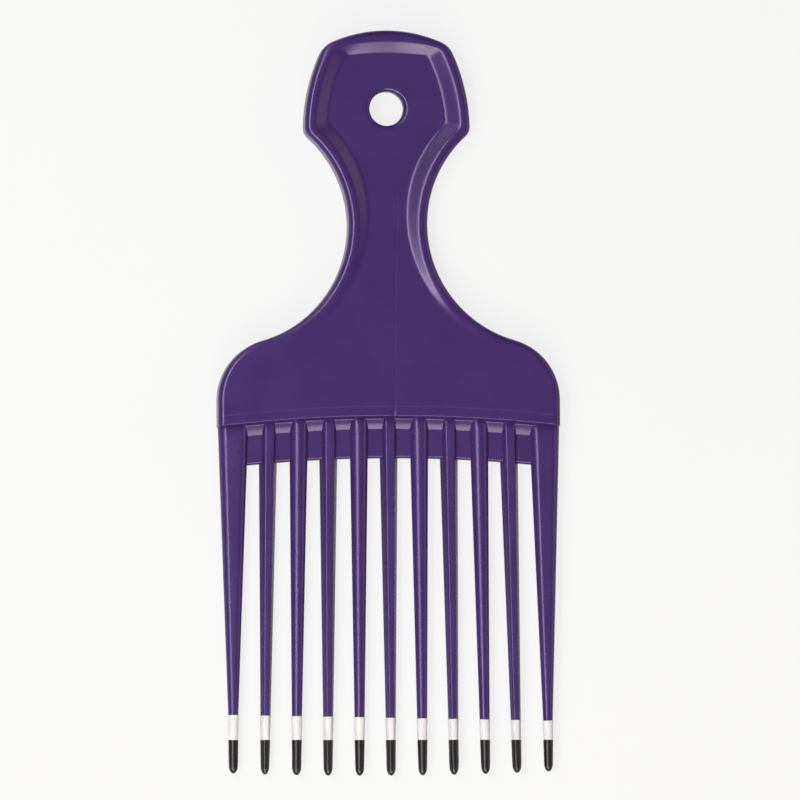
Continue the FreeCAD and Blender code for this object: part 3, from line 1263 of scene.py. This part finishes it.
@dataclass
class Studio:
    """Pale floor, soft boxes to the left and the front, two weak fills and the camera."""

    floor_size: float = 3000.0
    lamp_distance: float = 600.0
    lamps: tuple[SoftBox, ...] = (
        SoftBox("left_strip", 20.0, 182.0, 720.0, 100.0, radiance=8.8, diffuse=0.8),
        SoftBox("left_softbox", 30.5, 184.0, 720.0, 130.0, radiance=2.8),
        SoftBox("front_softbox", 48.0, -103.0, 500.0, 250.0, radiance=6.8, tint=SOFT, diffuse=0.6),
        SoftBox("back_left_fill", 62.0, 122.0, 360.0, 240.0, radiance=1.6),
        SoftBox("right_fill", 66.0, 8.0, 800.0, 260.0, radiance=1.3, tint=WARM, diffuse=0.2),
    )
    camera_distance: float = 2000.0
    camera_yaw: float = 6.0
    camera_pitch: float = 3.0
    camera_roll: float = -0.45
    frame_width: float = 177.1
    sensor: float = 36.0
    aim: Vector = field(default_factory=lambda: Vector((2.6, 0.6, 3.5)))
    ambient: float = 0.06
    ceiling: float = 0.2
    ceiling_edge: float = 0.88

    def build(self) -> None:
        """Set up the floor, the light and the camera."""
        bpy.context.scene.view_settings.view_transform = "Standard"
        self.floor()
        self.world()
        for lamp in self.lamps:
            lamp.hang(self.lamp_distance)
        self.camera()

    def floor(self) -> None:
        """Lay the floor."""
        bpy.ops.object.select_all(action="DESELECT")
        bpy.ops.mesh.primitive_plane_add(size=self.floor_size * MM)
        floor = bpy.context.object
        floor.name = "floor"
        floor.data.materials.append(PaleFloor().material())

    def world(self) -> None:
        """Give the room a dim light, stronger from the ceiling, and a white backdrop."""
        world = bpy.data.worlds.new("room")
        bpy.context.scene.world = world
        board = Board(world)
        height = board.axes(board.signal("ShaderNodeTexCoord", "Generated", {}, {}))[2]
        room = height.ramp(self.ceiling_edge, 1.0, self.ambient, self.ceiling)
        shown = board.math("MAXIMUM", room, board.rays("Is Camera Ray"))
        backdrop = board.signal("ShaderNodeBackground", 0, {}, {"Color": (*WHITE, 1.0), "Strength": shown})
        board.node("ShaderNodeOutputWorld", {}, {"Surface": backdrop})

    def camera(self) -> None:
        """Look down on the pick from a little to its left."""
        yaw = math.radians(self.camera_yaw)
        pitch = math.radians(self.camera_pitch)
        way = Vector((-math.sin(yaw) * math.cos(pitch), -math.sin(pitch), math.cos(yaw) * math.cos(pitch)))
        data = bpy.data.cameras.new("camera")
        data.sensor_width = self.sensor
        data.lens = self.sensor * self.camera_distance / self.frame_width
        eye = bpy.data.objects.new("camera", data)
        eye.location = (self.aim + way * self.camera_distance) * MM
        eye.rotation_euler = (pitch, -yaw, 0)
        eye.rotation_euler.rotate_axis("Z", math.radians(self.camera_roll))
        bpy.context.scene.collection.objects.link(eye)
        bpy.context.scene.camera = eye


@dataclass
class Pick:
    """The whole pick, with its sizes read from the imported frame."""

    record: dict[str, Any]
    tine_count: int = 11
    root: Section = Section(4.25, 5.2, 1.9, 0.9, 0.6)
    outer_root_width: float = 6.8
    outer_tip_inset: float = 3.0
    white_thickness: float = 0.06
    white_beads: tuple[float, float] = (0.02, 0.05)
    white_swell_height: float = 2.0
    black_thickness: float = 0.07
    black_beads: tuple[float, float] = (0.0, 0.03)
    black_swells: tuple[float, float] = (0.0, 0.08)
    black_swell_heights: tuple[float, float] = (1.8, 2.6)
    bead_height: float = 0.5
    seed: int = 5

    def handle(self) -> Handle:
        """The handle at its packed size."""
        low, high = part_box("handle")
        hole = next(mount for mount in self.record["mounts"] if mount["name"] == "hanging_hole")
        return Handle(
            top=high.y / MM,
            half_width=high.x / MM,
            half_thickness=(high.z - low.z) / 2 / MM,
            hole_y=hole["pos_m"][1] / MM,
            hole_radius=hole["dims"]["r_mm"],
        )

    def tines(self, handle: Handle) -> list[Tine]:
        """The tines from left to right.

        Args:
            handle: The handle that carries them.

        Returns:
            The tines.
        """
        inner_widths = (self.tine_count - 2) * self.root.width
        gaps = 2 * handle.half_width - 2 * self.outer_root_width - inner_widths
        gap = gaps / (self.tine_count - 1)
        left = -handle.half_width
        found = []
        for index in range(self.tine_count):
            outer = index in (0, self.tine_count - 1)
            width = self.outer_root_width if outer else self.root.width
            share = 2 * index / (self.tine_count - 1) - 1
            root_x = left + width / 2
            found.append(
                Tine(
                    number=index + 1,
                    root_x=root_x,
                    tip_x=share * (handle.half_width - self.outer_tip_inset),
                    root_y=handle.lip - handle.sag(root_x),
                    end_y=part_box(f"tine_{index + 1:02d}")[0].y / MM,
                    root=replace(self.root, width=width),
                    ridge=Ridge.FRONT if index % 2 else Ridge.BACK,
                )
            )
            left += width + gap
        return found

    def coats(self, tine: Tine, draw: random.Random) -> list[Coat]:
        """The two coats on a tine.

        Args:
            tine: The tine.
            draw: Source of the small differences between one dip and the next.

        Returns:
            The white coat and the black one.
        """
        white_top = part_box(f"white_dip_{tine.number:02d}")[1].y / MM
        black_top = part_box(f"black_dip_{tine.number:02d}")[1].y / MM
        return [
            Coat(
                name="white_coating",
                slot=Slot.WHITE,
                tine=tine,
                top_y=white_top,
                thickness=self.white_thickness,
                under=0.0,
                bead=draw.uniform(*self.white_beads),
                bead_height=self.bead_height,
                swell=0.0,
                swell_height=self.white_swell_height,
            ),
            Coat(
                name="black_coating",
                slot=Slot.BLACK,
                tine=tine,
                top_y=black_top,
                thickness=self.black_thickness,
                under=self.white_thickness,
                bead=draw.uniform(*self.black_beads),
                bead_height=self.bead_height,
                swell=draw.uniform(*self.black_swells),
                swell_height=draw.uniform(*self.black_swell_heights),
            ),
        ]

    def build(self) -> None:
        """Model every piece and dress it."""
        draw = random.Random(self.seed)
        purple = PurpleMoulding().material(middle_height())
        paints = {paint.slot: paint.material() for paint in (WHITE_PAINT, BLACK_PAINT)}
        handle = self.handle()
        self.dress(handle.build(), "handle", purple)
        for tine in self.tines(handle):
            self.dress(tine.build(), f"tine_{tine.number:02d}", purple)
            for coat, kind in zip(self.coats(tine, draw), ("white", "black"), strict=True):
                self.dress(coat.build(), f"{kind}_dip_{tine.number:02d}", paints[coat.slot])

    def dress(self, piece: bpy.types.Object, node: str, material: bpy.types.Material) -> None:
        """Give a piece its finish and its place in the frame.

        Args:
            piece: The piece.
            node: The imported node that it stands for.
            material: Its material.
        """
        piece.data.materials.clear()
        piece.data.materials.append(material)
        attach(piece, BODY)
        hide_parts(node)
        log.info("%s stands for %s: %d faces", piece.name, node, len(piece.data.polygons))


def main() -> None:
    """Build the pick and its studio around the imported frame."""
    logging.basicConfig(level=logging.INFO, format="%(name)s: %(message)s")
    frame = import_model()
    Pick(frame["record"]).build()
    Studio().build()


if __name__ == "__main__":
    main()
